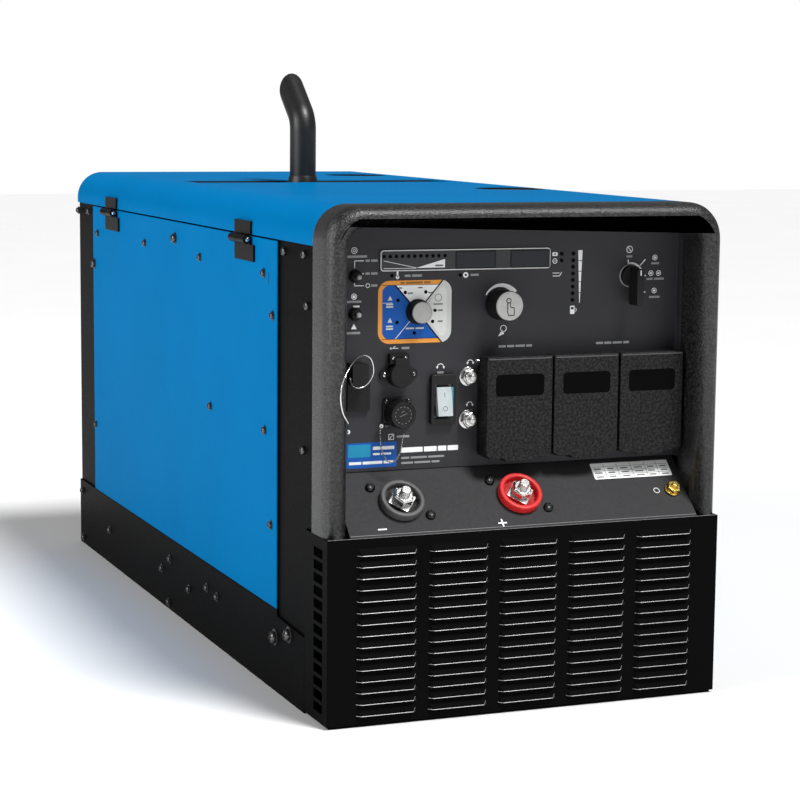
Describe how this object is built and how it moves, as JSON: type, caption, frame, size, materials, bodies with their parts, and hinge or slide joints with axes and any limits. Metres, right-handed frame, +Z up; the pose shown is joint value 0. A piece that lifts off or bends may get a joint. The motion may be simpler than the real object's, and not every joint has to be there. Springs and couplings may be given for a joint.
{
  "type": "engine driven welder",
  "caption": "Enclosed engine driven welder generator and air compressor with a recessed control panel, covered power outlets, weld studs, louvred panels and a bent exhaust pipe.",
  "frame": {"origin": "middle of the underside of the base, on the floor", "axes": "+X to the right when facing the control panel, +Y from the control panel towards the rear, +Z up"},
  "size_m": [0.5324, 1.202, 0.761],
  "materials": {
    "blue_paint": "satin powder coat",
    "black_paint": "satin black powder coat",
    "hinge_black": "semi-gloss black",
    "bezel_plastic": "pebbled moulded plastic",
    "panel_paint": "fine matte dark grey",
    "black_plastic": "satin moulded plastic",
    "cover_plastic": "pebbled moulded plastic",
    "display_glass": "glossy dark window",
    "knob_cap": "fine satin cap on a black skirt",
    "rocker_white": "glossy white under a clear boot",
    "zinc": "bright zinc plating",
    "brass": "bright",
    "black_insulator": "satin phenolic",
    "red_insulator": "semi-gloss red",
    "exhaust_coating": "high-temperature matte black",
    "engine_aluminium": "die cast",
    "cast_iron": "as cast",
    "belt_rubber": "ribbed rubber",
    "tank_plastic": "blow-moulded plastic"
  },
  "bodies": {
    "chassis": {"base_tray": "black_paint", "front_grille": "black_paint", "rear_panel": "black_paint", "front_bezel": "bezel_plastic", "control_panel": "panel_paint", "output_panel": "panel_paint", "top_cover": "blue_paint", "left_skirt": "black_paint", "right_skirt": "black_paint", "left_front_post": "black_paint", "right_front_post": "black_paint", "left_front_hinge_lid_leaf": "hinge_black", "left_rear_hinge_lid_leaf": "hinge_black", "right_front_hinge_lid_leaf": "hinge_black", "right_rear_hinge_lid_leaf": "hinge_black", "display_window": "display_glass", "breaker_frame": "black_plastic", "utility_socket": "black_plastic", "remote_receptacle": "black_plastic", "aux_socket": "black_plastic", "lanyard_wire": "zinc", "bead_chain": "zinc", "left_receptacle": "black_plastic", "middle_receptacle": "black_plastic", "right_receptacle": "black_plastic", "negative_insulator": "black_insulator", "positive_insulator": "red_insulator", "negative_stud": "zinc", "positive_stud": "zinc", "ground_stud": "brass", "exhaust_pipe": "exhaust_coating", "muffler": "exhaust_coating", "engine_block": "engine_aluminium", "stator": "cast_iron", "compressor": "cast_iron", "drive_belt": "belt_rubber", "fuel_tank": "tank_plastic", "battery": "tank_plastic"},
    "left_door": {"left_side_door": "blue_paint", "left_front_hinge_door_leaf": "hinge_black", "left_rear_hinge_door_leaf": "hinge_black"},
    "right_door": {"right_side_door": "blue_paint", "right_front_hinge_door_leaf": "hinge_black", "right_rear_hinge_door_leaf": "hinge_black"},
    "process_knob": {"process_knob": "knob_cap"},
    "adjust_knob": {"adjust_knob": "knob_cap"},
    "engine_switch": {"engine_switch": "black_plastic"},
    "compressor_toggle": {"compressor_toggle": "black_plastic"},
    "charge_toggle": {"charge_toggle": "black_plastic"},
    "breaker_rocker": {"breaker_rocker": "rocker_white"},
    "upper_reset_button": {"upper_reset_button": "zinc"},
    "lower_reset_button": {"lower_reset_button": "zinc"},
    "utility_socket_cover": {"utility_socket_cover": "black_plastic"},
    "remote_cap": {"remote_cap": "black_plastic"},
    "left_receptacle_cover": {"left_receptacle_cover": "cover_plastic"},
    "middle_receptacle_cover": {"middle_receptacle_cover": "cover_plastic"},
    "right_receptacle_cover": {"right_receptacle_cover": "cover_plastic"},
    "fuel_cap": {"fuel_cap": "black_plastic"},
    "crankshaft": {"crankshaft": "cast_iron"},
    "compressor_pulley": {"compressor_pulley": "cast_iron"}
  },
  "joints": [
    {"name": "left_door_hinge", "type": "hinge", "parent": "chassis", "child": "left_door", "pos_m": [-0.2605, 0.041, 0.55], "axis": [0, 1, 0], "range_deg": [0, 100]},
    {"name": "right_door_hinge", "type": "hinge", "parent": "chassis", "child": "right_door", "pos_m": [0.2605, 0.041, 0.55], "axis": [0, -1, 0], "range_deg": [0, 100]},
    {"name": "process_knob_turn", "type": "hinge", "parent": "chassis", "child": "process_knob", "pos_m": [-0.118, -0.535, 0.476], "axis": [0, 1, 0], "continuous": true},
    {"name": "adjust_knob_turn", "type": "hinge", "parent": "chassis", "child": "adjust_knob", "pos_m": [-0.0123, -0.54, 0.4824], "axis": [0, 1, 0], "continuous": true},
    {"name": "engine_switch_turn", "type": "hinge", "parent": "chassis", "child": "engine_switch", "pos_m": [0.161, -0.535, 0.513], "axis": [0, 1, 0], "range_deg": [0, 135]},
    {"name": "compressor_toggle_tilt", "type": "hinge", "parent": "chassis", "child": "compressor_toggle", "pos_m": [-0.197, -0.5303, 0.519], "axis": [1, 0, 0], "range_deg": [-14, 14]},
    {"name": "charge_toggle_tilt", "type": "hinge", "parent": "chassis", "child": "charge_toggle", "pos_m": [-0.197, -0.5303, 0.475], "axis": [1, 0, 0], "range_deg": [-14, 14]},
    {"name": "breaker_rocker_tilt", "type": "hinge", "parent": "chassis", "child": "breaker_rocker", "pos_m": [-0.086, -0.53, 0.369], "axis": [1, 0, 0], "range_deg": [0, 16]},
    {"name": "upper_reset_press", "type": "slide", "parent": "chassis", "child": "upper_reset_button", "axis": [0, 1, 0], "range_m": [0, 0.003], "stiffness_N_per_m": 400, "springref_m": -0.002},
    {"name": "lower_reset_press", "type": "slide", "parent": "chassis", "child": "lower_reset_button", "axis": [0, 1, 0], "range_m": [0, 0.003], "stiffness_N_per_m": 400, "springref_m": -0.002},
    {"name": "utility_cover_hinge", "type": "hinge", "parent": "chassis", "child": "utility_socket_cover", "pos_m": [-0.1425, -0.542, 0.4215], "axis": [-1, 0, 0], "range_deg": [0, 110]},
    {"name": "remote_cap_unscrew", "type": "hinge", "parent": "chassis", "child": "remote_cap", "pos_m": [-0.144, -0.54, 0.357], "axis": [0, -1, 0], "range_deg": [0, 360]},
    {"name": "left_receptacle_cover_hinge", "type": "hinge", "parent": "chassis", "child": "left_receptacle_cover", "pos_m": [0.0025, -0.535, 0.416], "axis": [-1, 0, 0], "range_deg": [0, 90]},
    {"name": "middle_receptacle_cover_hinge", "type": "hinge", "parent": "chassis", "child": "middle_receptacle_cover", "pos_m": [0.0908, -0.535, 0.416], "axis": [-1, 0, 0], "range_deg": [0, 90]},
    {"name": "right_receptacle_cover_hinge", "type": "hinge", "parent": "chassis", "child": "right_receptacle_cover", "pos_m": [0.1791, -0.535, 0.416], "axis": [-1, 0, 0], "range_deg": [0, 90]},
    {"name": "fuel_cap_turn", "type": "hinge", "parent": "chassis", "child": "fuel_cap", "pos_m": [0.173, -0.147, 0.597], "axis": [0, 0, 1], "range_deg": [0, 180]},
    {"name": "crankshaft_turn", "type": "hinge", "parent": "chassis", "child": "crankshaft", "pos_m": [0.04, -0.095, 0.215], "axis": [0, 1, 0], "continuous": true},
    {"name": "compressor_pulley_turn", "type": "hinge", "parent": "chassis", "child": "compressor_pulley", "pos_m": [-0.13, 0.245, 0.19], "axis": [0, 1, 0], "continuous": true}
  ],
  "couplings": [
    {"joint": "compressor_pulley_turn", "follows": "crankshaft_turn", "ratio": 0.6}
  ]
}
